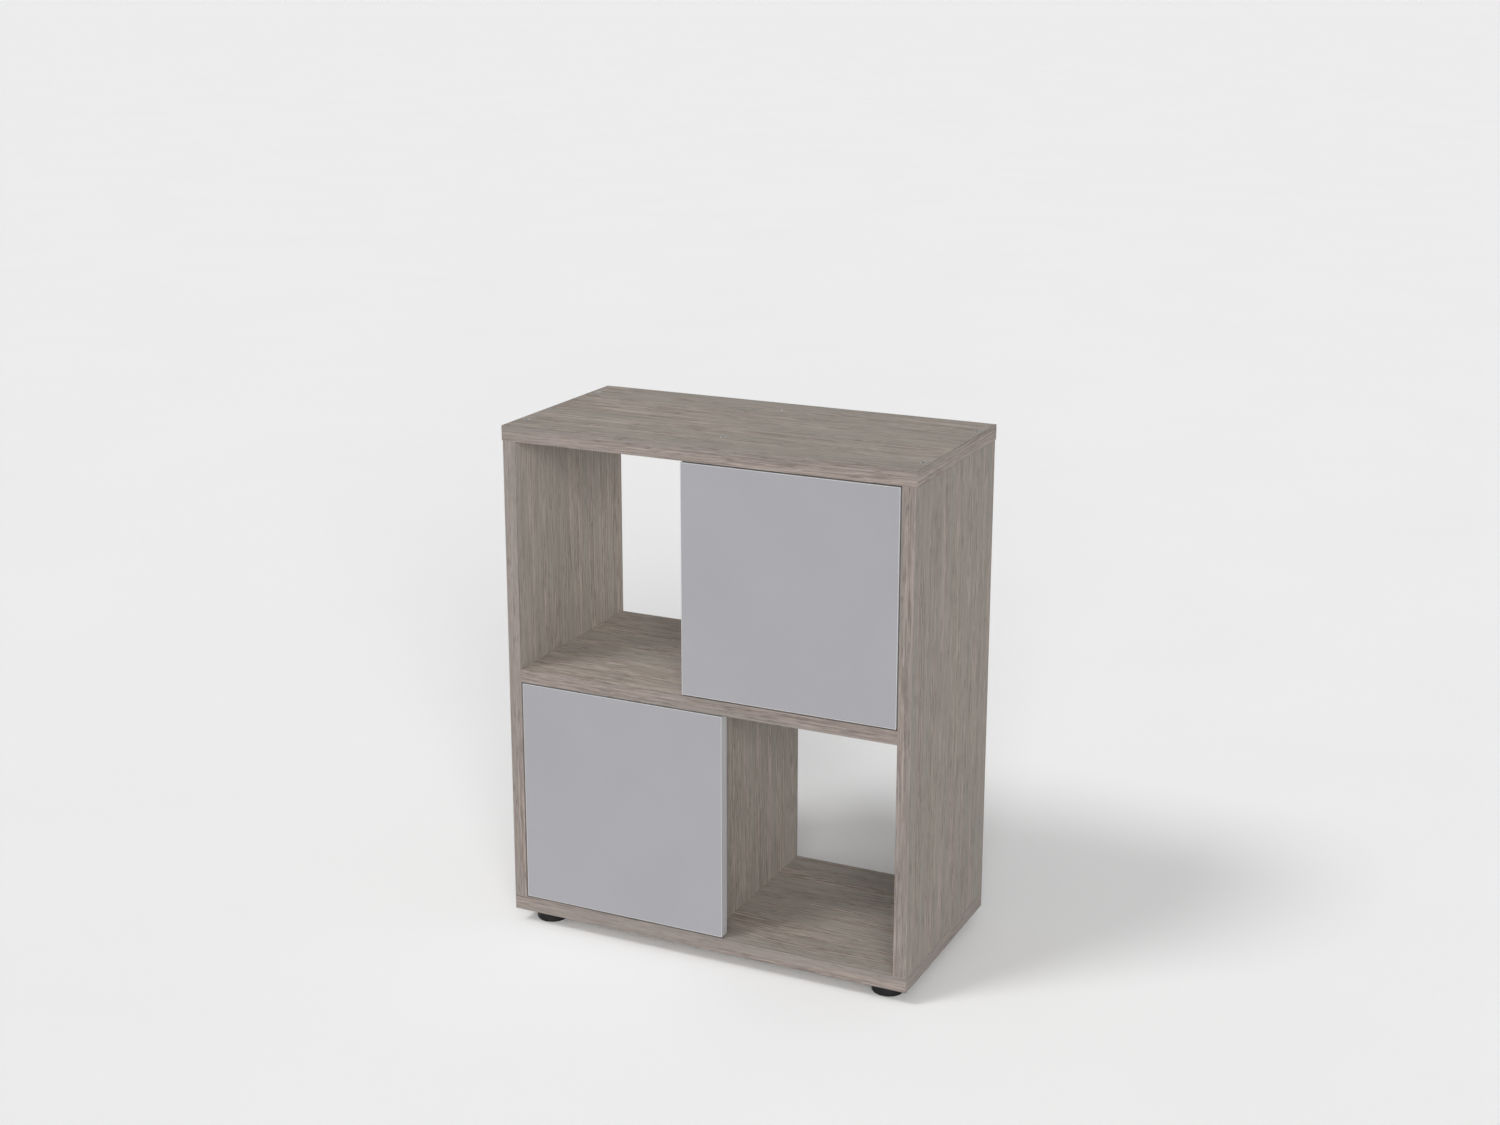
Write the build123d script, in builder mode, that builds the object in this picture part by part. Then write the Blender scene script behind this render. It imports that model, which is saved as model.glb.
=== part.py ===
"""Aquarium stand cabinet with two open-through niches and two hinged cupboards.

The cupboards and niches are set corner to corner around one middle shelf. The cabinet is
flat-pack furniture in melamine-faced board and stands on four levelling feet.

Frame: millimetres, +Z up, the front faces -Y, the origin is on the floor under the middle.
"""
import os

from build123d import *

os.makedirs("parts", exist_ok=True)

# Boards
body_width = 600.0  # over the outer faces of the side panels
body_depth = 296.0  # front edges to rear edges
body_height = 710.0  # underside of the bottom board to the top face
cap_thickness = 21.0  # top and bottom boards
board_thickness = 19.0  # side panels, shelf and dividers
top_overhang = 1.5  # top board past each side panel
band = 1.0  # edge banding
foot_height = 20.0

# Doors
door_thickness = 16.0
door_gap = 2.0  # around a closed door, and behind it to the divider
door_overlap = 20.0  # free edge past its divider, which is the finger grip

# Back panels, which slide in grooves
back_thickness = 4.0
groove_width = 4.4
groove_depth = 6.0
back_inset = 12.0  # rear edges to the groove
notch_width = 50.0  # for cables and hoses
notch_inset = 60.0  # divider's face to the notch's middle
notch_height = 45.0
notch_radius = 12.0

# Fasteners
fit_gap = 0.1  # fasteners in their holes
hole_end_gap = 1.0  # past the end of a fastener in its hole
screw_head_radius = 5.0
screw_head_height = 3.5
screw_radius = 3.2
screw_shank = 23.0
screw_core_radius = 2.4
screw_length = 50.0
socket_radius = 2.3
socket_depth = 2.5
dowel_radius = 4.0
dowel_tip_radius = 3.0
dowel_tip_length = 1.5
dowel_length = 30.0
through_dowel_length = 49.0
cam_radius = 7.5
cam_height = 13.0
cam_setback = 34.0  # board end to the cam's centre
cam_cavity_radius = 3.6
cam_slot_length = 7.0
cam_slot_width = 1.4
cam_slot_depth = 3.0
bolt_radius = 2.4
bolt_head_radius = 3.3
bolt_head_length = 3.5
bolt_head_start = 4.0  # from the cam's centre
bolt_hole_radius = 4.0
bolt_thread_radius = 3.0
bolt_thread_length = 11.0
screw_rows = (-100.0, 100.0)  # along the depth, from the middle
divider_screw_rows = (-80.0, 100.0)
dowel_rows = (-60.0, 60.0)
divider_dowel_rows = (-30.0, 60.0)
cam_rows = (-84.0, 84.0)

# Levelling feet
foot_inset_x = 39.5  # side panel's outer face to the foot's centre
foot_inset_y = 37.0  # front and rear edges to the foot's centre
foot_radius = 22.5
foot_sole_radius = 21.5
foot_sole_rise = 1.8  # sole to the lower edge of the rim
foot_rim_height = 12.0
foot_rim_round = 1.0
foot_shoulder_radius = 18.0
foot_shoulder_height = 14.0
foot_hex_flats = 22.0
foot_head_gap = 0.3  # hexagon to the board when the foot is screwed right in
stud_radius = 3.9
stud_start_z = 6.0  # moulded into the foot from here up
stud_reach = 16.5  # above the underside of the bottom board
stud_chamfer = 0.8
stud_fit = 0.08
stud_hole_gap = 0.6  # around the stud above its insert
insert_radius = 6.0
insert_length = 13.0

# Concealed hinges, in their own plan: x from the door's hinge edge, y from its front face
cup_x = 22.5
cup_radius = 17.5
cup_bore = 16.4
cup_depth = 13.0
cup_floor = 0.8
flange_thickness = 1.2
flange_radius = 19.0
flange_wing_radius = 5.5
cup_screw_x = cup_x + 9.5
cup_screw_rows = (-22.5, 22.5)
cup_screw_radius = 1.75
cup_screw_head = 3.4
cup_screw_hole = 13.0
cup_screw_shank = 11.0
arm_long_pivot = (33.4, 10.2)
arm_short_pivot = (15.1, 8.2)
cup_long_pivot = (11.9, 6.2)
cup_short_pivot = (19.5, 15.5)
pin_radius = 1.25
pin_fit = 0.05  # where a link turns on its pin
pin_hold = 0.02  # where a pin is held
open_pivot_gap = 0.25  # short link's eye in the cup, where the linkage is opened
lug_half = 2.6  # the layers, as half widths from the middle lug outwards
long_link_layer = (2.8, 4.1)
arm_layer = (4.3, 5.7)
short_link_layer = (5.9, 7.1)
outer_lug_layer = (7.3, 9.0)
long_link_radius = 2.1
short_link_radius = 1.9
lug_radius = 2.2
arm_back_x = 9.8
arm_outline = [
    (15.1, 6.2), (34.0, 8.1), (37.4, 9.0), (37.4, 21.6), (arm_back_x, 45.4), (arm_back_x, 80.0),
    (1.2, 80.0), (1.2, 42.0), (31.4, 17.4), (31.4, 12.8), (15.1, 10.2),
]
arm_hollow = [
    (10.0, 3.0), (36.0, 3.0), (36.0, 21.0), (8.4, 44.8),
    (8.4, 81.0), (0.0, 81.0), (0.0, 41.0), (10.0, 30.0),
]
arm_tip_radius = 2.0
plate_thickness = 2.0
plate_y = (42.0, 82.0)
plate_half = 8.0
plate_wing_y = (45.0, 61.0)
plate_wing_half = 25.0
plate_rail_y = (46.0, 79.0)
plate_rail_half = 4.0
plate_rail_top = 8.2
plate_screw_y = 53.0
plate_screw_rows = (-16.0, 16.0)
plate_screw_radius = 3.15
plate_screw_head = 4.5
plate_screw_head_top = 3.0
plate_screw_head_height = 1.6
plate_screw_length = 11.0
clamp_screw_y = 72.0
clamp_screw_radius = 2.5
clamp_screw_length = 8.0
clamp_screw_head = 3.6
clamp_screw_head_height = 1.8
clamp_slot_half = 0.6
clamp_slot_depth = 1.0
clamp_hole = 20.0
hinge_inset = 75.0  # door's top and bottom edges to its hinges

# Door bumpers
bumper_radius = 4.0
bumper_thickness = 1.8
bumper_inset = 25.0

# Planes, levels and places that follow
side_x = body_width / 2
inner_x = side_x - board_thickness
side_middle_x = side_x - board_thickness / 2
half_board = board_thickness / 2
front_y = -body_depth / 2
rear_y = body_depth / 2
base_z = foot_height
floor_z = base_z + cap_thickness
top_z = base_z + body_height
ceiling_z = top_z - cap_thickness
opening_height = (ceiling_z - floor_z - board_thickness) / 2
shelf_under_z = floor_z + opening_height
shelf_top_z = shelf_under_z + board_thickness
shelf_middle_z = shelf_under_z + board_thickness / 2
door_back_y = front_y + door_thickness
divider_front_y = door_back_y + door_gap
back_y = rear_y - back_inset - groove_width / 2
door_height = opening_height - 2 * door_gap
hinge_edge_x = inner_x - door_gap
free_edge_x = half_board + door_overlap
foot_x = side_x - foot_inset_x
foot_y = rear_y - foot_inset_y
foot_places = {
    "front_left_foot": (-foot_x, -foot_y),
    "front_right_foot": (foot_x, -foot_y),
    "rear_left_foot": (-foot_x, foot_y),
    "rear_right_foot": (foot_x, foot_y),
}

UP = (0, 0, 1)
DOWN = (0, 0, -1)
RIGHT = (1, 0, 0)
LEFT = (-1, 0, 0)
FRONT = (0, -1, 0)
REAR = (0, 1, 0)
FROM_START = (Align.CENTER, Align.CENTER, Align.MIN)


# Helpers
def save(piece, name):
    """Label one finished piece and write it."""
    piece.part.label = name
    export_step(piece.part, f"parts/{name}.step")


def block(low, high, mode=Mode.ADD):
    """Box between two corners, added to or cut from the piece being built."""
    middle = tuple((a + b) / 2 for a, b in zip(low, high))
    with Locations(middle):
        Box(*[b - a for a, b in zip(low, high)], mode=mode)


def rod(start, direction, radius, length, mode=Mode.ADD):
    """Round rod or bore from a point, along a direction."""
    with Locations(Plane(origin=start, z_dir=direction)):
        Cylinder(radius, length, align=FROM_START, mode=mode)


def cone(start, direction, start_radius, end_radius, length, mode=Mode.ADD):
    """Cone from a point, along a direction."""
    with Locations(Plane(origin=start, z_dir=direction)):
        Cone(start_radius, end_radius, length, align=FROM_START, mode=mode)


def ahead(point, direction, distance):
    """Point moved along a direction."""
    return tuple(p + distance * d for p, d in zip(point, direction))


def screw_hole(start, direction):
    """Countersunk through hole and pilot for one long screw."""
    sink = screw_head_radius + fit_gap
    shank = screw_radius + fit_gap
    core = screw_core_radius + fit_gap
    cone(start, direction, sink, shank, screw_head_height, Mode.SUBTRACT)
    rod(start, direction, shank, screw_shank + hole_end_gap, Mode.SUBTRACT)
    rod(start, direction, core, screw_length + hole_end_gap, Mode.SUBTRACT)


def dowel_hole(joint, direction, length=dowel_length):
    """Hole for a dowel centred on a joint, on both sides of it."""
    start = ahead(joint, direction, -length / 2 - hole_end_gap)
    rod(start, direction, dowel_radius + fit_gap, length + 2 * hole_end_gap, Mode.SUBTRACT)


def groove(x_range, y_range, z_range):
    """Groove for a back panel, cut from the board being built."""
    low, high = zip(x_range, y_range, z_range)
    block(low, high, Mode.SUBTRACT)


def hinge_levels(door_bottom):
    """Heights of one door's two hinges."""
    return (door_bottom + hinge_inset, door_bottom + door_height - hinge_inset)


# Joints between the boards
top_screws = [(x, y, top_z) for x in (-side_middle_x, side_middle_x) for y in screw_rows]
top_screws += [(0, y, top_z) for y in divider_screw_rows]
bottom_screws = [(x, y, base_z) for x, y, z in top_screws]
top_dowels = [(x, y, ceiling_z) for x in (-side_middle_x, side_middle_x) for y in dowel_rows]
top_dowels += [(0, y, ceiling_z) for y in divider_dowel_rows]
bottom_dowels = [(x, y, floor_z) for x, y, z in top_dowels]
shelf_dowels = [(x, y, shelf_middle_z) for x in (-inner_x, inner_x) for y in dowel_rows]
through_dowels = [(0, y, shelf_middle_z) for y in divider_dowel_rows]
cam_bolts = [(x, y, shelf_middle_z) for x in (-inner_x, inner_x) for y in cam_rows]
double_bolts = [(0, y, shelf_middle_z) for y in cam_rows]
back_groove_y = (back_y - groove_width / 2, back_y + groove_width / 2)
lower_groove_x = (-inner_x - groove_depth, -half_board + groove_depth)
upper_groove_x = (half_board - groove_depth, inner_x + groove_depth)
lower_groove_z = (floor_z - groove_depth, shelf_under_z + groove_depth)
upper_groove_z = (shelf_top_z - groove_depth, ceiling_z + groove_depth)
lower_hinges = hinge_levels(floor_z + door_gap)
upper_hinges = hinge_levels(shelf_top_z + door_gap)


def edge_bands(name, low, high, ends=False):
    """Banding strips on a board's front and rear edges, and on its ends where they show."""
    (x0, y0, z0), (x1, y1, z1) = low, high
    with BuildPart() as strips:
        block((x0, y0, z0), (x1, y0 + band, z1))
        block((x0, y1 - band, z0), (x1, y1, z1))
        if ends:
            block((x0, y0 + band, z0), (x0 + band, y1 - band, z1))
            block((x1 - band, y0 + band, z0), (x1, y1 - band, z1))
    save(strips, name)


# Top and bottom boards
top_low = (-side_x - top_overhang, front_y, ceiling_z)
top_high = (side_x + top_overhang, rear_y, top_z)
bottom_low = (-side_x, front_y, base_z)
bottom_high = (side_x, rear_y, floor_z)

with BuildPart() as top_board:
    block(
        (top_low[0] + band, top_low[1] + band, ceiling_z),
        (top_high[0] - band, top_high[1] - band, top_z),
    )
    for start in top_screws:
        screw_hole(start, DOWN)
    for joint in top_dowels:
        dowel_hole(joint, UP)
    groove(upper_groove_x, back_groove_y, (ceiling_z, ceiling_z + groove_depth))
save(top_board, "top_board")
edge_bands("top_board_edge_bands", top_low, top_high, ends=True)

with BuildPart() as bottom_board:
    block(
        (bottom_low[0] + band, bottom_low[1] + band, base_z),
        (bottom_high[0] - band, bottom_high[1] - band, floor_z),
    )
    for start in bottom_screws:
        screw_hole(start, UP)
    for joint in bottom_dowels:
        dowel_hole(joint, UP)
    groove(lower_groove_x, back_groove_y, (floor_z - groove_depth, floor_z))
    for x, y in foot_places.values():
        rod((x, y, base_z), UP, insert_radius + fit_gap, insert_length, Mode.SUBTRACT)
        rod((x, y, base_z), UP, stud_radius + stud_hole_gap, stud_reach + hole_end_gap, Mode.SUBTRACT)
save(bottom_board, "bottom_board")
edge_bands("bottom_board_edge_bands", bottom_low, bottom_high, ends=True)


# Side panels
def side_panel(name, hand, groove_z, hinges):
    """Side panel between the cap boards; hand is -1 on the left and 1 on the right."""
    inner = hand * inner_x
    x0, x1 = sorted((inner, hand * side_x))
    outward = (hand, 0, 0)
    bolt_hole = bolt_thread_length + hole_end_gap
    with BuildPart() as panel:
        block((x0, front_y + band, floor_z), (x1, rear_y - band, ceiling_z))
        for y in screw_rows:
            screw_hole((hand * side_middle_x, y, top_z), DOWN)
            screw_hole((hand * side_middle_x, y, base_z), UP)
        for y in dowel_rows:
            dowel_hole((hand * side_middle_x, y, ceiling_z), UP)
            dowel_hole((hand * side_middle_x, y, floor_z), UP)
            dowel_hole((inner, y, shelf_middle_z), RIGHT)
        for y in cam_rows:
            rod((inner, y, shelf_middle_z), outward, bolt_thread_radius + fit_gap, bolt_hole, Mode.SUBTRACT)
        groove(sorted((inner, inner + hand * groove_depth)), back_groove_y, groove_z)
        for level in hinges:
            for dz in plate_screw_rows:
                start = (inner, front_y + plate_screw_y, level + dz)
                rod(start, outward, plate_screw_radius + fit_gap, plate_screw_length, Mode.SUBTRACT)
    save(panel, name)
    edge_bands(name + "_edge_bands", (x0, front_y, floor_z), (x1, rear_y, ceiling_z))


side_panel("left_side_panel", -1, (floor_z, shelf_under_z + groove_depth), lower_hinges)
side_panel("right_side_panel", 1, (shelf_top_z - groove_depth, ceiling_z), upper_hinges)


# Middle shelf, with cams let into its underside
with BuildPart() as middle_shelf:
    block((-inner_x, front_y + band, shelf_under_z), (inner_x, rear_y - band, shelf_top_z))
    for joint in shelf_dowels:
        dowel_hole(joint, RIGHT)
    for joint in through_dowels:
        dowel_hole(joint, UP)
    for x, y, z in cam_bolts:
        inward = LEFT if x > 0 else RIGHT
        rod((x, y, z), inward, bolt_hole_radius, cam_setback, Mode.SUBTRACT)
        cam_centre = ahead((x, y, shelf_under_z), inward, cam_setback)
        rod(cam_centre, UP, cam_radius + fit_gap, cam_height + fit_gap, Mode.SUBTRACT)
    for x, y, z in double_bolts:
        rod((x, y, shelf_under_z), UP, bolt_hole_radius, board_thickness, Mode.SUBTRACT)
    groove(lower_groove_x, back_groove_y, (shelf_under_z, shelf_under_z + groove_depth))
    groove(upper_groove_x, back_groove_y, (shelf_top_z - groove_depth, shelf_top_z))
save(middle_shelf, "middle_shelf")
edge_bands("shelf_edge_bands", (-inner_x, front_y, shelf_under_z), (inner_x, rear_y, shelf_top_z))


# Dividers, set back behind the doors
def divider(name, z_range, hand, cap_z, from_cap, shelf_z, from_shelf):
    """Divider between the shelf and a cap board; its cupboard is on the hand side."""
    z0, z1 = z_range
    with BuildPart() as board:
        block((-half_board, divider_front_y + band, z0), (half_board, rear_y - band, z1))
        for y in divider_screw_rows:
            screw_hole((0, y, cap_z), from_cap)
        for y in divider_dowel_rows:
            dowel_hole((0, y, z1 if from_cap is DOWN else z0), UP)
            dowel_hole((0, y, shelf_middle_z), UP, through_dowel_length)
        for y in cam_rows:
            rod((0, y, shelf_z), from_shelf, bolt_hole_radius, cam_setback, Mode.SUBTRACT)
            cam_start = ahead((hand * half_board, y, shelf_z), from_shelf, cam_setback)
            rod(cam_start, (-hand, 0, 0), cam_radius + fit_gap, cam_height + fit_gap, Mode.SUBTRACT)
        groove(sorted((hand * half_board, hand * (half_board - groove_depth))), back_groove_y, z_range)
    save(board, name)
    edge_bands(name + "_edge_bands", (-half_board, divider_front_y, z0), (half_board, rear_y, z1))


divider("upper_divider", (shelf_top_z, ceiling_z), 1, top_z, DOWN, shelf_top_z, UP)
divider("lower_divider", (floor_z, shelf_under_z), -1, base_z, UP, shelf_under_z, DOWN)


# Back panels of the two cupboards, each with a notch in one lower corner
def back_panel(name, x_range, z_range, notch_x):
    """Thin panel a little smaller than its grooves, notched upwards from its lower edge."""
    slack = (groove_width - back_thickness) / 2
    x0, x1 = x_range[0] + slack, x_range[1] - slack
    z0, z1 = z_range[0] + slack, z_range[1] - slack
    with BuildPart() as panel:
        block((x0, back_y - back_thickness / 2, z0), (x1, back_y + back_thickness / 2, z1))
        with BuildSketch(Plane.XZ.offset(-back_y)) as notch:
            with Locations((notch_x, z0)):
                Rectangle(notch_width, 2 * (groove_depth + notch_height))
            fillet(notch.vertices().group_by(Axis.Y)[-1], notch_radius)
        extrude(amount=back_thickness, both=True, mode=Mode.SUBTRACT)
    save(panel, name)


back_panel("lower_back_panel", lower_groove_x, lower_groove_z, -half_board - notch_inset)
back_panel("upper_back_panel", upper_groove_x, upper_groove_z, half_board + notch_inset)


# Screws through the cap boards
def long_screws(name, starts, direction):
    """Countersunk furniture screws with a hexagon socket."""
    with BuildPart() as screws:
        for start in starts:
            neck = ahead(start, direction, screw_head_height)
            thread = ahead(start, direction, screw_shank)
            cone(start, direction, screw_head_radius, screw_radius, screw_head_height)
            rod(neck, direction, screw_radius, screw_shank - screw_head_height)
            rod(thread, direction, screw_core_radius, screw_length - screw_shank)
            with BuildSketch(Plane(origin=start, z_dir=direction)):
                RegularPolygon(socket_radius, 6)
            extrude(amount=socket_depth, mode=Mode.SUBTRACT)
    save(screws, name)


long_screws("top_board_screws", top_screws, DOWN)
long_screws("bottom_board_screws", bottom_screws, UP)


# Wooden dowels
def dowel(joint, direction, length):
    """Round dowel centred on a joint, with chamfered ends."""
    start = ahead(joint, direction, -length / 2)
    body_start = ahead(start, direction, dowel_tip_length)
    body_end = ahead(start, direction, length - dowel_tip_length)
    cone(start, direction, dowel_tip_radius, dowel_radius, dowel_tip_length)
    rod(body_start, direction, dowel_radius, length - 2 * dowel_tip_length)
    cone(body_end, direction, dowel_radius, dowel_tip_radius, dowel_tip_length)


with BuildPart() as dowels:
    for joint in top_dowels + bottom_dowels:
        dowel(joint, UP, dowel_length)
    for joint in shelf_dowels:
        dowel(joint, RIGHT, dowel_length)
    for joint in through_dowels:
        dowel(joint, UP, through_dowel_length)
save(dowels, "wooden_dowels")


# Cams and their bolts
def cam(face_centre, into_board, towards_bolt):
    """Cam with a cavity for the bolt's head and a cross slot for the screwdriver."""
    rod(face_centre, into_board, cam_radius, cam_height)
    middle = ahead(face_centre, into_board, half_board)
    rod(middle, towards_bolt, cam_cavity_radius, cam_radius, Mode.SUBTRACT)
    with Locations(Plane(origin=face_centre, z_dir=into_board)):
        Box(cam_slot_length, cam_slot_width, 2 * cam_slot_depth, mode=Mode.SUBTRACT)
        Box(cam_slot_width, cam_slot_length, 2 * cam_slot_depth, mode=Mode.SUBTRACT)


with BuildPart() as shelf_cams:
    for x, y, z in cam_bolts:
        inward = LEFT if x > 0 else RIGHT
        outward = RIGHT if x > 0 else LEFT
        cam(ahead((x, y, shelf_under_z), inward, cam_setback), UP, outward)
save(shelf_cams, "shelf_cams")

with BuildPart() as divider_cams:
    for x, y, z in double_bolts:
        cam((half_board, y, shelf_top_z + cam_setback), LEFT, DOWN)
        cam((-half_board, y, shelf_under_z - cam_setback), RIGHT, UP)
save(divider_cams, "divider_cams")

with BuildPart() as shelf_cam_bolts:
    for x, y, z in cam_bolts:
        inward = LEFT if x > 0 else RIGHT
        outward = RIGHT if x > 0 else LEFT
        rod((x, y, z), outward, bolt_thread_radius, bolt_thread_length)
        head_start = ahead((x, y, z), inward, cam_setback - bolt_head_start)
        rod((x, y, z), inward, bolt_radius, cam_setback - bolt_head_start)
        rod(head_start, inward, bolt_head_radius, bolt_head_length)
save(shelf_cam_bolts, "shelf_cam_bolts")

with BuildPart() as divider_cam_bolts:
    reach = half_board + cam_setback - bolt_head_start
    for joint in double_bolts:
        rod(ahead(joint, DOWN, reach), UP, bolt_radius, 2 * reach)
        for direction in (UP, DOWN):
            rod(ahead(joint, direction, reach), direction, bolt_head_radius, bolt_head_length)
save(divider_cam_bolts, "divider_cam_bolts")


# Levelling feet: a threaded insert in the bottom board, and a disc moulded on a stud
with BuildPart() as foot_inserts:
    for x, y in foot_places.values():
        rod((x, y, base_z), UP, insert_radius, insert_length - fit_gap)
        rod((x, y, base_z), UP, stud_radius + stud_fit, insert_length, Mode.SUBTRACT)
save(foot_inserts, "foot_inserts")

for name, (x, y) in foot_places.items():
    hex_top = base_z - foot_head_gap
    with BuildPart() as disc:
        with BuildSketch(Plane.XZ.offset(-y)):
            with BuildLine():
                Polyline(
                    (x, 0),
                    (x + foot_sole_radius, 0),
                    (x + foot_radius, foot_sole_rise),
                    (x + foot_radius, foot_rim_height),
                    (x + foot_shoulder_radius, foot_shoulder_height),
                    (x, foot_shoulder_height),
                    close=True,
                )
            make_face()
        revolve(axis=Axis((x, y, 0), UP))
        fillet(disc.edges().filter_by(GeomType.CIRCLE).group_by(Axis.Z)[1:3], foot_rim_round)
        with BuildSketch(Plane.XY.offset(foot_shoulder_height)):
            with Locations((x, y)):
                RegularPolygon(foot_hex_flats / 2, 6, major_radius=False)
        extrude(amount=hex_top - foot_shoulder_height)
        rod((x, y, stud_start_z), UP, stud_radius, base_z, Mode.SUBTRACT)
    save(disc, name + "_disc")
    with BuildPart() as stud:
        rod((x, y, stud_start_z), UP, stud_radius, base_z + stud_reach - stud_start_z)
        chamfer(stud.edges().group_by(Axis.Z)[-1], stud_chamfer)
    save(stud, name + "_stud")


# Doors and their hinges
def door_set(name, hand, z0, hinges):
    """One door with its hinges; hand is -1 for hinges on the left and 1 on the right."""
    z1 = z0 + door_height

    def at(x, y):
        """Point in the cabinet's plan from the hinge's own plan."""
        return (hand * (hinge_edge_x - x), front_y + y)

    def spot(x, y, z):
        """Point in the cabinet from the hinge's own plan and a height."""
        return (*at(x, y), z)

    inward = (-hand, 0, 0)
    outward = (hand, 0, 0)
    x0, x1 = sorted((hand * hinge_edge_x, -hand * free_edge_x))

    def slot(start, end, radius, z_low, z_high, mode=Mode.ADD):
        """Round-ended bar between two points of the plan, from one height to another."""
        with BuildSketch(Plane.XY.offset(z_low)) as bar:
            for point in (start, end):
                with Locations(at(*point)):
                    Circle(radius)
            make_hull()
        extrude(bar.sketch, amount=z_high - z_low, mode=mode)

    def layers(level, layer):
        """Height ranges of a layer above and below a hinge's middle."""
        return ((level + layer[0], level + layer[1]), (level - layer[1], level - layer[0]))

    # Panel and its banding
    with BuildPart() as panel:
        block((x0 + band, front_y, z0 + band), (x1 - band, door_back_y, z1 - band))
        for level in hinges:
            rod(spot(cup_x, door_thickness, level), FRONT, cup_radius + fit_gap, cup_depth, Mode.SUBTRACT)
            for dz in cup_screw_rows:
                start = spot(cup_screw_x, door_thickness, level + dz)
                rod(start, FRONT, cup_screw_radius + fit_gap, cup_screw_hole, Mode.SUBTRACT)
    save(panel, name + "_panel")
    with BuildPart() as bands:
        block((x0, front_y, z0), (x0 + band, door_back_y, z1))
        block((x1 - band, front_y, z0), (x1, door_back_y, z1))
        block((x0 + band, front_y, z0), (x1 - band, door_back_y, z0 + band))
        block((x0 + band, front_y, z1 - band), (x1 - band, door_back_y, z1))
    save(bands, name + "_edge_bands")

    # Cups: a bored disc with a winged flange, a middle lug and two outer lugs
    floor_y = door_thickness - cup_depth + fit_gap
    bore_y = floor_y + cup_floor
    with BuildPart() as cups:
        for level in hinges:
            rod(spot(cup_x, floor_y, level), REAR, cup_radius, door_thickness - floor_y)
            with BuildSketch(Plane.XZ.offset(-front_y - door_thickness)):
                with Locations((at(cup_x, 0)[0], level)):
                    Circle(flange_radius)
                for dz in cup_screw_rows:
                    with Locations((at(cup_screw_x, 0)[0], level + dz)):
                        Circle(flange_wing_radius)
                make_hull()
            extrude(amount=-flange_thickness)
            rod(spot(cup_x, bore_y, level), REAR, cup_bore, door_thickness, Mode.SUBTRACT)
            lug_foot = (cup_long_pivot[0], bore_y)
            slot(cup_long_pivot, lug_foot, lug_radius, level - lug_half, level + lug_half)
            for z_low, z_high in layers(level, outer_lug_layer):
                slot(cup_short_pivot, (cup_short_pivot[0], bore_y), lug_radius, z_low, z_high)
            pin_hole = pin_radius + pin_hold
            rod(spot(*cup_long_pivot, level - lug_half), UP, pin_hole, 2 * lug_half, Mode.SUBTRACT)
            half = outer_lug_layer[1]
            rod(spot(*cup_short_pivot, level - half), UP, pin_hole, 2 * half, Mode.SUBTRACT)
            sink, shank = cup_screw_head + fit_gap, cup_screw_radius + fit_gap
            for dz in cup_screw_rows:
                start = spot(cup_screw_x, door_thickness + flange_thickness, level + dz)
                cone(start, FRONT, sink, shank, flange_thickness, Mode.SUBTRACT)
            # The lugs' round ends are cut off flush with the underside of the cup's floor
            low = (-side_x, front_y, level - cup_radius)
            high = (side_x, front_y + floor_y, level + cup_radius)
            block(low, high, Mode.SUBTRACT)
    save(cups, name + "_hinge_cups")

    with BuildPart() as cup_screws:
        for level in hinges:
            for dz in cup_screw_rows:
                start = spot(cup_screw_x, door_thickness + flange_thickness, level + dz)
                cone(start, FRONT, cup_screw_head, cup_screw_radius, flange_thickness)
                rod(ahead(start, FRONT, flange_thickness), FRONT, cup_screw_radius, cup_screw_shank)
    save(cup_screws, name + "_cup_screws")

    # Links: a fork around the middle lug, and two flat plates outside the arm
    with BuildPart() as long_links:
        for level in hinges:
            for z_low, z_high in layers(level, long_link_layer):
                slot(arm_long_pivot, cup_long_pivot, long_link_radius, z_low, z_high)
            half = long_link_layer[1]
            rod(spot(*arm_long_pivot, level - half), UP, long_link_radius, 2 * half)
            for pivot in (arm_long_pivot, cup_long_pivot):
                rod(spot(*pivot, level - half), UP, pin_radius + pin_fit, 2 * half, Mode.SUBTRACT)
    save(long_links, name + "_long_links")
    with BuildPart() as short_links:
        for level in hinges:
            for z_low, z_high in layers(level, short_link_layer):
                slot(arm_short_pivot, cup_short_pivot, short_link_radius, z_low, z_high)
            half = short_link_layer[1]
            for pivot, gap in ((arm_short_pivot, pin_fit), (cup_short_pivot, open_pivot_gap)):
                rod(spot(*pivot, level - half), UP, pin_radius + gap, 2 * half, Mode.SUBTRACT)
    save(short_links, name + "_short_links")

    # Arms: a cranked channel that ends in two cheeks
    half = arm_layer[1]
    with BuildPart() as arms:
        for level in hinges:
            with BuildSketch(Plane.XY.offset(level - half)):
                with BuildLine():
                    Polyline(*[at(*point) for point in arm_outline], close=True)
                make_face()
                with Locations(at(*arm_short_pivot)):
                    Circle(arm_tip_radius)
            extrude(amount=2 * half)
            with BuildSketch(Plane.XY.offset(level - arm_layer[0])):
                with BuildLine():
                    Polyline(*[at(*point) for point in arm_hollow], close=True)
                make_face()
            extrude(amount=2 * arm_layer[0], mode=Mode.SUBTRACT)
            for pivot in (arm_long_pivot, arm_short_pivot):
                rod(spot(*pivot, level - half), UP, pin_radius + pin_hold, 2 * half, Mode.SUBTRACT)
            clamp_start = spot(0, clamp_screw_y, level)
            rod(clamp_start, inward, clamp_screw_radius + fit_gap, clamp_hole, Mode.SUBTRACT)
    save(arms, name + "_hinge_arms")

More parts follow.
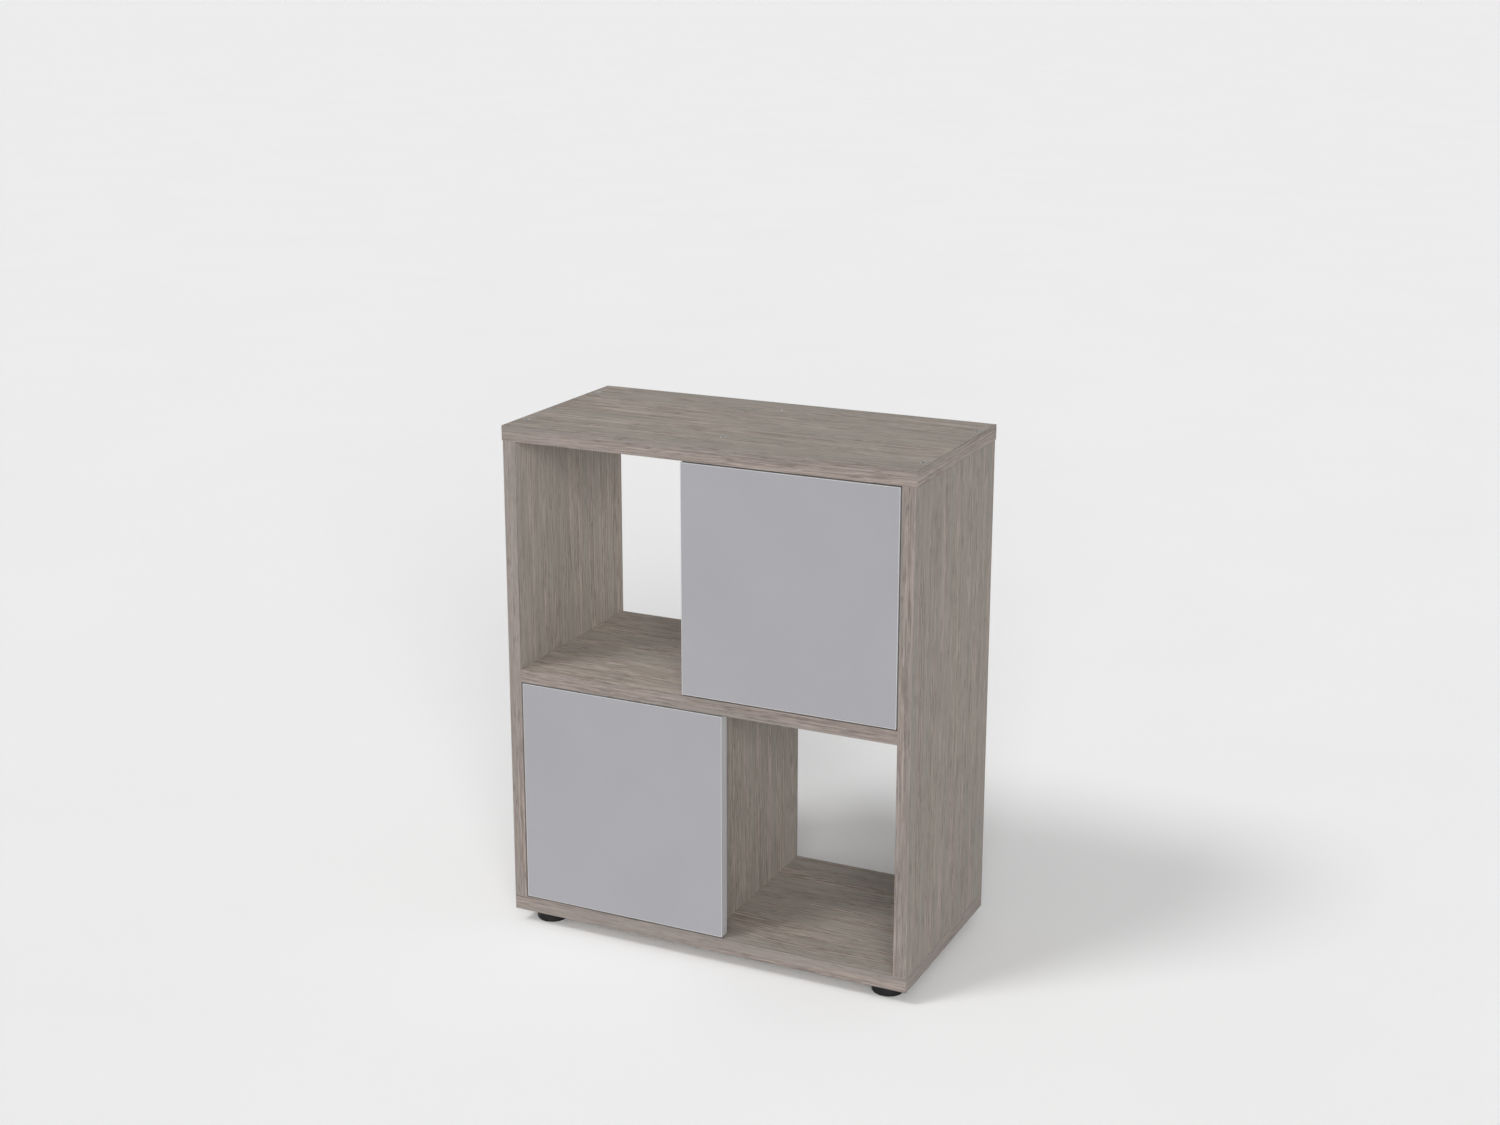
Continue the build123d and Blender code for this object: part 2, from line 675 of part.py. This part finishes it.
    # Mounting plates on the side panel, with a rail inside each arm
    face = hand * inner_x
    base = hand * (inner_x - plate_thickness)
    base_x = sorted((face, base))
    rail_x = sorted((base, at(plate_rail_top, 0)[0]))
    with BuildPart() as plates:
        for level in hinges:
            for x_range, y_range, z_half in (
                (base_x, plate_y, plate_half),
                (base_x, plate_wing_y, plate_wing_half),
                (rail_x, plate_rail_y, plate_rail_half),
            ):
                low = (x_range[0], front_y + y_range[0], level - z_half)
                high = (x_range[1], front_y + y_range[1], level + z_half)
                block(low, high)
            for dz in plate_screw_rows:
                start = (face, front_y + plate_screw_y, level + dz)
                rod(start, inward, plate_screw_radius + fit_gap, plate_thickness, Mode.SUBTRACT)
            clamp_start = spot(0, clamp_screw_y, level)
            rod(clamp_start, inward, clamp_screw_radius + fit_gap, clamp_hole, Mode.SUBTRACT)
    save(plates, name + "_hinge_plates")

    with BuildPart() as plate_screws:
        for level in hinges:
            for dz in plate_screw_rows:
                start = (base, front_y + plate_screw_y, level + dz)
                rod(start, outward, plate_screw_radius, plate_screw_length)
                cone(start, inward, plate_screw_head, plate_screw_head_top, plate_screw_head_height)
    save(plate_screws, name + "_plate_screws")

    with BuildPart() as clamp_screws:
        for level in hinges:
            seat = spot(arm_back_x, clamp_screw_y, level)
            x, y, z = ahead(seat, inward, clamp_screw_head_height)
            rod(seat, inward, clamp_screw_head, clamp_screw_head_height)
            rod(seat, outward, clamp_screw_radius, clamp_screw_length)
            slot_x = sorted((x, x + hand * clamp_slot_depth))
            low = (slot_x[0], y - clamp_screw_head, z - clamp_slot_half)
            high = (slot_x[1], y + clamp_screw_head, z + clamp_slot_half)
            block(low, high, Mode.SUBTRACT)
    save(clamp_screws, name + "_clamp_screws")

    # Pins, held in the arms and in the cups
    with BuildPart() as arm_pins:
        for level in hinges:
            half = arm_layer[1]
            rod(spot(*arm_long_pivot, level - half), UP, pin_radius, 2 * half)
            for z_low, z_high in layers(level, (arm_layer[0], short_link_layer[1])):
                rod(spot(*arm_short_pivot, z_low), UP, pin_radius, z_high - z_low)
    save(arm_pins, name + "_arm_pins")
    with BuildPart() as cup_pins:
        for level in hinges:
            half = long_link_layer[1]
            rod(spot(*cup_long_pivot, level - half), UP, pin_radius, 2 * half)
            for z_low, z_high in layers(level, (short_link_layer[0], outer_lug_layer[1])):
                rod(spot(*cup_short_pivot, z_low), UP, pin_radius, z_high - z_low)
    save(cup_pins, name + "_cup_pins")

    # Bumpers on the divider's front edge
    with BuildPart() as bumpers:
        for z in (z0 + bumper_inset, z1 - bumper_inset):
            rod((0, divider_front_y, z), FRONT, bumper_radius, bumper_thickness)
    save(bumpers, name + "_bumpers")


door_set("lower_door", -1, floor_z + door_gap, lower_hinges)
door_set("upper_door", 1, shelf_top_z + door_gap, upper_hinges)
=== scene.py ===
"""Looks, light and camera for the aquarium stand cabinet."""

import math

import bpy
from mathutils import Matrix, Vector

MM = 0.001

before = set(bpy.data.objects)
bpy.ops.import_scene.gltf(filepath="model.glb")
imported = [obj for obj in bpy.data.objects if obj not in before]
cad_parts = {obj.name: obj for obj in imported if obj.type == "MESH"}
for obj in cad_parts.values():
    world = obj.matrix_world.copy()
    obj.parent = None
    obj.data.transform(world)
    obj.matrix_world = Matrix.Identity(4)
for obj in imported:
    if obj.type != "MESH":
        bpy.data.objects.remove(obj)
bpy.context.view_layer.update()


# Node helpers
def material(name):
    """New material, its node tree and its Principled shader."""
    made = bpy.data.materials.new(name)
    made.use_nodes = True
    tree = made.node_tree
    tree.nodes.clear()
    output = tree.nodes.new("ShaderNodeOutputMaterial")
    shader = tree.nodes.new("ShaderNodeBsdfPrincipled")
    tree.links.new(shader.outputs["BSDF"], output.inputs["Surface"])
    return made, tree, shader


def node(tree, kind, inputs, **settings):
    """New node with its settings, and a value or a link on each named input."""
    made = tree.nodes.new("ShaderNode" + kind)
    for name, value in settings.items():
        setattr(made, name, value)
    feed(tree, made, inputs)
    return made


def feed(tree, target, inputs):
    """Puts a value or a link on each named input of a node."""
    for name, value in inputs.items():
        if isinstance(value, bpy.types.NodeSocket):
            tree.links.new(value, target.inputs[name])
        else:
            target.inputs[name].default_value = value


def maths(tree, operation, *values):
    """Result of a Math node."""
    return node(tree, "Math", dict(enumerate(values)), operation=operation).outputs[0]


def noise(tree, vector, size, seed, detail=2.0, roughness=0.5):
    """Noise whose features have the given size in metres, one number for each direction."""
    away = (seed, 1.7 * seed, 0.6 * seed)
    moved = node(
        tree, "VectorMath",
        {0: vector, 1: [1 / metres for metres in size], 2: away},
        operation="MULTIPLY_ADD",
    )
    made = node(
        tree, "TexNoise",
        {"Vector": moved.outputs[0], "Scale": 1.0, "Detail": detail, "Roughness": roughness},
    )
    return made.outputs["Fac"]


def step(tree, value, low, high, start=0.0, end=1.0):
    """Value carried smoothly from one range to another, and kept in it."""
    made = node(
        tree, "MapRange",
        {"Value": value, "From Min": low, "From Max": high, "To Min": start, "To Max": end},
        interpolation_type="SMOOTHSTEP",
    )
    return made.outputs["Result"]


def blend(tree, factor, first, second, mode="MIX"):
    """Two colours mixed."""
    made = node(tree, "Mix", {}, data_type="RGBA", blend_type=mode)
    feed(tree, made, {0: factor, 6: first, 7: second})
    return made.outputs[2]


def soft_edge(tree, radius):
    """Normal that rounds the arrises."""
    return node(tree, "Bevel", {"Radius": radius}, samples=6).outputs["Normal"]


def bump(tree, height, depth, strength, normal):
    """Normal with relief of the given depth in metres."""
    made = node(
        tree, "Bump", {"Height": height, "Distance": depth, "Strength": strength, "Normal": normal},
    )
    return made.outputs["Normal"]


def axes(tree, along, ends=None):
    """Row-frame coordinates in metres, turned so that the grain runs along the third one.

    Where ends is given, faces that look along X take their grain along that axis instead.
    """
    place = node(tree, "TexCoord", {})
    parts = node(tree, "SeparateXYZ", {0: place.outputs["Object"]})

    def turned(axis):
        order = {"x": (1, 2, 0), "y": (2, 0, 1), "z": (0, 1, 2)}[axis]
        sockets = {slot: parts.outputs[source] for slot, source in enumerate(order)}
        return node(tree, "CombineXYZ", sockets).outputs[0]

    if ends is None:
        return turned(along)
    facing = node(tree, "SeparateXYZ", {0: place.outputs["Normal"]})
    on_end = maths(tree, "GREATER_THAN", maths(tree, "ABSOLUTE", facing.outputs[0]), 0.5)
    made = node(tree, "Mix", {}, data_type="VECTOR")
    feed(tree, made, {0: on_end, 4: turned(along), 5: turned(ends)})
    return made.outputs[1]


def grey(value):
    """Opaque neutral colour."""
    return (value, value, value, 1)


def toned(colour, factor):
    """Colour made lighter or darker."""
    return (*(factor * c for c in colour[:3]), 1)


# Oak print: the size of each feature in metres, twice across the grain and once along it
WANDER_SIZE = (0.04, 0.04, 0.20)
COLUMN_SIZE = (0.010, 0.010, 0.80)
STREAK_SIZE = (0.0025, 0.0025, 0.10)
FINE_SIZE = (0.0013, 0.0013, 0.030)
DASH_SIZE = (0.0020, 0.0020, 0.022)
CROWD_SIZE = (0.014, 0.014, 0.12)
TINT_SIZE = (0.022, 0.022, 0.6)
HALF_GROWTH_SPACING = 0.0028
GROWTH_WIDTH = 0.0017

# Share of each feature in the tone, and the tones that give the dark and the light colour
COLUMN_SHARE = 0.22
STREAK_SHARE = 0.66
FINE_SHARE = 0.50
DASH_SHARE = 0.50
TINT_SHARE = 0.55
MIDDLE_TONE = 0.69
TONE_REACH = 0.17
FIGURE_OFFSET = 0.17
COOLER = (0.90, 0.97, 1.00)
DASH_TONE = 0.60

# Colours of the oak decor in linear light: upright boards, level boards and edge bands. The level
# boards' colours are a lighter copy of the same print, which paints light onto the level boards
UPRIGHT_DARK = (0.179, 0.151, 0.129, 1)
UPRIGHT_LIGHT = (0.380, 0.331, 0.290, 1)
LEVEL_DARK_PAINTED_LIT = (0.198, 0.167, 0.142, 1)
LEVEL_LIGHT_PAINTED_LIT = (0.462, 0.401, 0.353, 1)
EDGE_DARK = (0.150, 0.123, 0.109, 1)
EDGE_LIGHT = (0.290, 0.245, 0.221, 1)

# Painted light: how much lighter a level board's end bands are made than its front band, one factor
# for each end, to match the side panels
RIGHT_END_PAINTED_LIGHT = 1.17
LEFT_END_PAINTED_LIGHT = 1.40


# Materials
def oak_print(tree, straight, seed, dark, light, figure, sway):
    """Colour, gloss pattern and relief of the decor: columns, growth lines, streaks and dashes.

    Figure is how strong the growth lines are, and sway how far the grain wanders, in metres.
    """
    wander = noise(tree, straight, WANDER_SIZE, seed, 3.0)
    place = node(
        tree, "VectorMath",
        {0: (sway, sway, 0.0), 1: wander, 2: straight},
        operation="MULTIPLY_ADD",
    ).outputs[0]
    across = node(tree, "SeparateXYZ", {0: place})
    column = noise(tree, place, COLUMN_SIZE, seed + 3, 3.0, 0.6)
    streak = noise(tree, place, STREAK_SIZE, seed + 5, 4.0, 0.70)
    fine = noise(tree, place, FINE_SIZE, seed + 7, 2.0, 0.6)
    dash = step(tree, noise(tree, place, DASH_SIZE, seed + 9, 1.0), 0.58, 0.66)
    crowd = step(tree, noise(tree, place, CROWD_SIZE, seed + 13, 2.0), 0.40, 0.60, 0.30, 1.0)
    dashes = maths(tree, "MULTIPLY", dash, crowd)

    tone = maths(tree, "MULTIPLY", column, COLUMN_SHARE)
    tone = maths(tree, "MULTIPLY_ADD", streak, STREAK_SHARE, tone)
    depth = maths(tree, "ADD", across.outputs[0], across.outputs[1])
    from_line = maths(tree, "PINGPONG", depth, HALF_GROWTH_SPACING)
    line = step(tree, from_line, 0.0, GROWTH_WIDTH, 1.0, 0.0)
    tone = maths(tree, "MULTIPLY_ADD", maths(tree, "MULTIPLY", line, crowd), -figure, tone)
    tone = maths(tree, "MULTIPLY_ADD", fine, FINE_SHARE, tone)
    middle = MIDDLE_TONE - FIGURE_OFFSET * figure
    body = blend(tree, step(tree, tone, middle - TONE_REACH, middle + TONE_REACH), dark, light)

    cooler = [(low + high) / 2 * share for low, high, share in zip(dark, light, COOLER)] + [1]
    patch = noise(tree, place, TINT_SIZE, seed + 11, 1.0)
    body = blend(tree, step(tree, patch, 0.42, 0.58, 0.0, TINT_SHARE), body, cooler)
    body = blend(tree, maths(tree, "MULTIPLY", dashes, DASH_SHARE), body, toned(dark, DASH_TONE))
    relief = maths(tree, "SUBTRACT", maths(tree, "MULTIPLY", fine, 0.6), dashes)
    return body, streak, relief


def painted_light_on_ends(tree, body):
    """Painted light: colour raised on the faces that look along X, to that of the side panel next
    to them, more on the left end than on the right.
    """
    place = node(tree, "TexCoord", {})
    facing = node(tree, "SeparateXYZ", {0: place.outputs["Normal"]}).outputs[0]
    mean_painted_light = (LEFT_END_PAINTED_LIGHT + RIGHT_END_PAINTED_LIGHT) / 2
    half_gap = (RIGHT_END_PAINTED_LIGHT - LEFT_END_PAINTED_LIGHT) / 2
    lift = maths(tree, "MULTIPLY_ADD", maths(tree, "ABSOLUTE", facing), mean_painted_light - 1.0, 1.0)
    lift = maths(tree, "MULTIPLY_ADD", facing, half_gap, lift)
    made = node(tree, "VectorMath", {0: body, "Scale": lift}, operation="SCALE")
    return made.outputs[0]


def oak(name, along, seed, dark, light, ends=None, figure=0.10, sway=0.010, relief=1.0):
    """Wood print on melamine or edging, with the grain along one axis."""
    made, tree, shader = material(name)
    body, streak, height = oak_print(tree, axes(tree, along, ends), seed, dark, light, figure, sway)
    # Painted light on the end faces of the bands
    if ends is not None:
        body = painted_light_on_ends(tree, body)
    feed(tree, shader, {
        "Base Color": body,
        "Roughness": step(tree, streak, 0.3, 0.7, 0.60, 0.70),
        "Normal": bump(tree, height, 0.05 * MM * relief, 0.7, soft_edge(tree, 0.4 * MM)),
        "Specular IOR Level": 0.26,
    })
    return made


def melamine(name, colour, relief):
    """Plain satin melamine with a very fine pearl."""
    made, tree, shader = material(name)
    place = node(tree, "TexCoord", {}).outputs["Object"]
    cloud = noise(tree, place, (0.12, 0.12, 0.12), 2.0, 3.0)
    pearl = noise(tree, place, (0.0009, 0.0009, 0.0009), 5.0, 2.0)
    wiped = noise(tree, place, (0.05, 0.05, 0.16), 8.0, 3.0)
    darker = [0.955 * c for c in colour[:3]] + [1]
    tone = maths(tree, "MULTIPLY_ADD", pearl, 0.35, maths(tree, "MULTIPLY", cloud, 0.65))
    feed(tree, shader, {
        "Base Color": blend(tree, step(tree, tone, 0.3, 0.7), darker, colour),
        "Roughness": step(tree, wiped, 0.3, 0.7, 0.42, 0.50),
        "Normal": bump(tree, pearl, 0.03 * MM * relief, 0.6, soft_edge(tree, 0.6 * MM)),
        "Specular IOR Level": 0.4,
    })
    return made


def metal(name, colour, roughness, brushed, relief=1.0):
    """Plated metal with faint drawing marks and stains."""
    made, tree, shader = material(name)
    place = node(tree, "TexCoord", {}).outputs["Object"]
    marks = noise(tree, place, brushed, 3.0, 3.0, 0.6)
    stains = noise(tree, place, (0.012, 0.012, 0.012), 6.0, 3.0)
    darker = [0.84 * c for c in colour[:3]] + [1]
    feed(tree, shader, {
        "Base Color": blend(tree, step(tree, stains, 0.35, 0.65), darker, colour),
        "Metallic": 1.0,
        "Roughness": step(tree, marks, 0.3, 0.7, roughness - 0.06, roughness + 0.08),
        "Normal": bump(tree, marks, 0.02 * MM * relief, 0.5, soft_edge(tree, 0.25 * MM)),
    })
    return made


def moulded(name, colour, roughness):
    """Moulded plastic with a fine spark-eroded texture and dusty wear."""
    made, tree, shader = material(name)
    place = node(tree, "TexCoord", {}).outputs["Object"]
    texture = noise(tree, place, (0.0006, 0.0006, 0.0006), 4.0, 2.0)
    dust = step(tree, noise(tree, place, (0.008, 0.008, 0.004), 9.0, 4.0), 0.5, 0.75)
    lighter = [min(1.0, 1.4 * c + 0.006) for c in colour[:3]] + [1]
    feed(tree, shader, {
        "Base Color": blend(tree, maths(tree, "MULTIPLY", dust, 0.6), colour, lighter),
        "Roughness": step(tree, texture, 0.3, 0.7, roughness - 0.05, roughness + 0.08),
        "Normal": bump(tree, texture, 0.03 * MM, 0.7, soft_edge(tree, 0.4 * MM)),
        "Specular IOR Level": 0.28,
    })
    return made


def hardboard(name):
    """Fibreboard: oak print on the face inside the cupboard, bare pressed fibres behind."""
    made, tree, shader = material(name)
    place = node(tree, "TexCoord", {})
    vector = place.outputs["Object"]
    fibres = noise(tree, vector, (0.0016, 0.0016, 0.0016), 3.0, 5.0, 0.7)
    clumps = noise(tree, vector, (0.03, 0.03, 0.03), 7.0, 3.0)
    dark_fibre, light_fibre = (0.16, 0.085, 0.042, 1), (0.27, 0.165, 0.088, 1)
    bare = blend(tree, step(tree, fibres, 0.35, 0.65), dark_fibre, light_fibre)
    bare = blend(tree, maths(tree, "MULTIPLY", clumps, 0.3), bare, (0.20, 0.115, 0.06, 1))
    printed, _, _ = oak_print(
        tree, vector, 5.0, UPRIGHT_DARK, UPRIGHT_LIGHT, figure=0.09, sway=0.009,
    )
    facing = node(tree, "SeparateXYZ", {0: place.outputs["Normal"]})
    front = maths(tree, "LESS_THAN", facing.outputs[1], -0.5)
    feed(tree, shader, {
        "Base Color": blend(tree, front, bare, printed),
        "Roughness": maths(tree, "MULTIPLY_ADD", front, -0.25, 0.8),
        "Normal": bump(tree, fibres, 0.15 * MM, 0.5, soft_edge(tree, 0.3 * MM)),
        "Specular IOR Level": 0.3,
    })
    return made


def finish_node(name, made):
    """Gives one CAD node its material."""
    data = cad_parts[name].data
    data.materials.clear()
    data.materials.append(made)


# Grain direction, print offset, and a tone factor that paints light or shade onto that sheet of
# decor: above 1 is painted light, below 1 is painted shade
LEVEL, UPRIGHT = "x", "z"
boards = {
    "top_board": (LEVEL, 2.1, 1.0),
    "bottom_board": (LEVEL, 5.3, 1.0),
    "middle_shelf": (LEVEL, 8.7, 1.13),
    "left_side_panel": (UPRIGHT, 12.9, 1.19),
    "right_side_panel": (UPRIGHT, 17.3, 0.91),
    "upper_divider": (UPRIGHT, 21.1, 1.0),
    "lower_divider": (UPRIGHT, 26.5, 1.06),
}
# Painted shade: the edge bands of the level boards and of the right side panel are made darker
band_painted_shade_tones = {
    "top_board": 0.96, "bottom_board": 0.96, "middle_shelf": 0.96, "right_side_panel": 0.93,
}
BAND_OFFSET = 40
for board, (along, seed, tone) in boards.items():
    if along == LEVEL:
        # Level boards take the lighter copy of the print, which is painted light
        dark, light, figure, sway = LEVEL_DARK_PAINTED_LIT, LEVEL_LIGHT_PAINTED_LIT, 0.17, 0.013
    else:
        dark, light, figure, sway = UPRIGHT_DARK, UPRIGHT_LIGHT, 0.09, 0.009
    # The board's tone factor scales its oak colours, painting light or shade into them
    finish_node(board, oak(
        "oak_" + board, along, seed, toned(dark, tone), toned(light, tone),
        figure=figure, sway=sway,
    ))
    bands = board.replace("middle_", "") + "_edge_bands"
    # Painted shade factor for this board's bands, 1.0 where none is painted
    band_painted_shade = band_painted_shade_tones.get(board, 1.0)
    finish_node(bands, oak(
        "oak_" + bands, along, seed + BAND_OFFSET,
        toned(EDGE_DARK, band_painted_shade), toned(EDGE_LIGHT, band_painted_shade),
        ends="y" if along == LEVEL else None, figure=0.07, sway=0.003, relief=0.6,
    ))

door_grey = melamine("door_grey", (0.266, 0.263, 0.281, 1), relief=1.0)
door_edge = melamine("door_edge_grey", (0.405, 0.408, 0.415, 1), relief=0.5)
back_board = hardboard("back_hardboard")
nickel = metal(
    "nickel_plate", (0.72, 0.70, 0.66, 1), roughness=0.27, brushed=(0.0006, 0.02, 0.0006),
)
zinc = metal(
    "cast_zinc", (0.58, 0.59, 0.60, 1), roughness=0.42, brushed=(0.001, 0.001, 0.001), relief=2.0,
)
zinc_plate = metal(
    "zinc_plate", (0.66, 0.66, 0.64, 1), roughness=0.33, brushed=(0.0008, 0.0008, 0.004),
)
foot_black = moulded("foot_black", (0.005, 0.005, 0.0055, 1), roughness=0.50)
bumper_clear = moulded("bumper_soft", (0.42, 0.41, 0.39, 1), roughness=0.35)
beech = oak("beech", "z", 33.0, (0.50, 0.34, 0.20, 1), (0.66, 0.50, 0.33, 1))

finish_node("wooden_dowels", beech)
for name in ("lower_back_panel", "upper_back_panel"):
    finish_node(name, back_board)
for name in ("top_board_screws", "bottom_board_screws", "shelf_cam_bolts", "divider_cam_bolts"):
    finish_node(name, zinc_plate)
for name in ("shelf_cams", "divider_cams", "foot_inserts"):
    finish_node(name, zinc)
for corner in ("front_left", "front_right", "rear_left", "rear_right"):
    finish_node(corner + "_foot_disc", foot_black)
    finish_node(corner + "_foot_stud", zinc_plate)
for door in ("lower_door", "upper_door"):
    finish_node(door + "_panel", door_grey)
    finish_node(door + "_edge_bands", door_edge)
    finish_node(door + "_bumpers", bumper_clear)
    for piece in (
        "hinge_cups", "cup_screws", "cup_pins", "long_links", "short_links",
        "hinge_arms", "arm_pins", "hinge_plates", "plate_screws", "clamp_screws",
    ):
        finish_node(door + "_" + piece, nickel)


# Floor, light and camera
FLOOR_SIZE = 400

# Strength of the light from all round, and how high the bright part reaches
HORIZON_LIGHT = 0.84
ZENITH_LIGHT = 0.24
HORIZON_HEIGHT = 0.45


def floor():
    """Pale matt floor that runs past the horizon."""
    bpy.ops.mesh.primitive_plane_add(size=FLOOR_SIZE)
    made = bpy.context.object
    made.name = "floor"
    pale, tree, shader = material("floor_pale")
    place = node(tree, "TexCoord", {}).outputs["Object"]
    grain = noise(tree, place, (0.4, 0.4, 0.4), 1.0, 3.0)
    feed(tree, shader, {
        "Base Color": blend(tree, grain, grey(0.93), grey(0.96)),
        "Roughness": step(tree, grain, 0.3, 0.7, 0.93, 0.97),
        "Specular IOR Level": 0.0,
        "IOR": 1.0,
    })
    made.data.materials.append(pale)


def lamp(name, azimuth, elevation, strength, spread):
    """Wide, soft light from one direction. Azimuth 0 is the front and grows to the right."""
    made_light = bpy.data.lights.new(name, "SUN")
    made_light.energy = strength
    made_light.angle = math.radians(spread)
    made = bpy.data.objects.new(name, made_light)
    made.rotation_euler = heading(azimuth, elevation).to_track_quat("-Z", "Y").to_euler()
    bpy.context.scene.collection.objects.link(made)


def heading(azimuth, elevation):
    """Direction from a point at the given azimuth and elevation towards the origin."""
    turn = math.radians(azimuth)
    lift = math.radians(elevation)
    level = math.cos(lift)
    return Vector((-math.sin(turn) * level, math.cos(turn) * level, -math.sin(lift)))


floor()
lamp("key", azimuth=-40, elevation=52, strength=1.05, spread=18)
lamp("fill", azimuth=28, elevation=19, strength=2.55, spread=34)
lamp("top", azimuth=0, elevation=75, strength=0.28, spread=60)

# Pale all round, brightest at the height of the horizon
world = bpy.data.worlds.new("studio")
bpy.context.scene.world = world
world.use_nodes = True
sky = world.node_tree
direction = node(sky, "TexCoord", {}).outputs["Generated"]
rise = node(sky, "SeparateXYZ", {0: direction}).outputs[2]
feed(sky, sky.nodes["Background"], {
    "Color": (1.0, 1.0, 1.0, 1),
    "Strength": step(sky, rise, 0.0, HORIZON_HEIGHT, HORIZON_LIGHT, ZENITH_LIGHT),
})
bpy.context.scene.view_settings.view_transform = "Standard"

lens = bpy.data.cameras.new("camera")
lens.sensor_width = 36.0
lens.lens = 51.47
lens.shift_x = 0.0045
lens.shift_y = -0.046
lens.clip_end = 1000.0
camera = bpy.data.objects.new("camera", lens)
camera.location = (1.220, -2.564, 1.368)
view = heading(azimuth=25.61, elevation=14.50)
camera.rotation_euler = view.to_track_quat("-Z", "Y").to_euler()
bpy.context.scene.collection.objects.link(camera)
bpy.context.scene.camera = camera
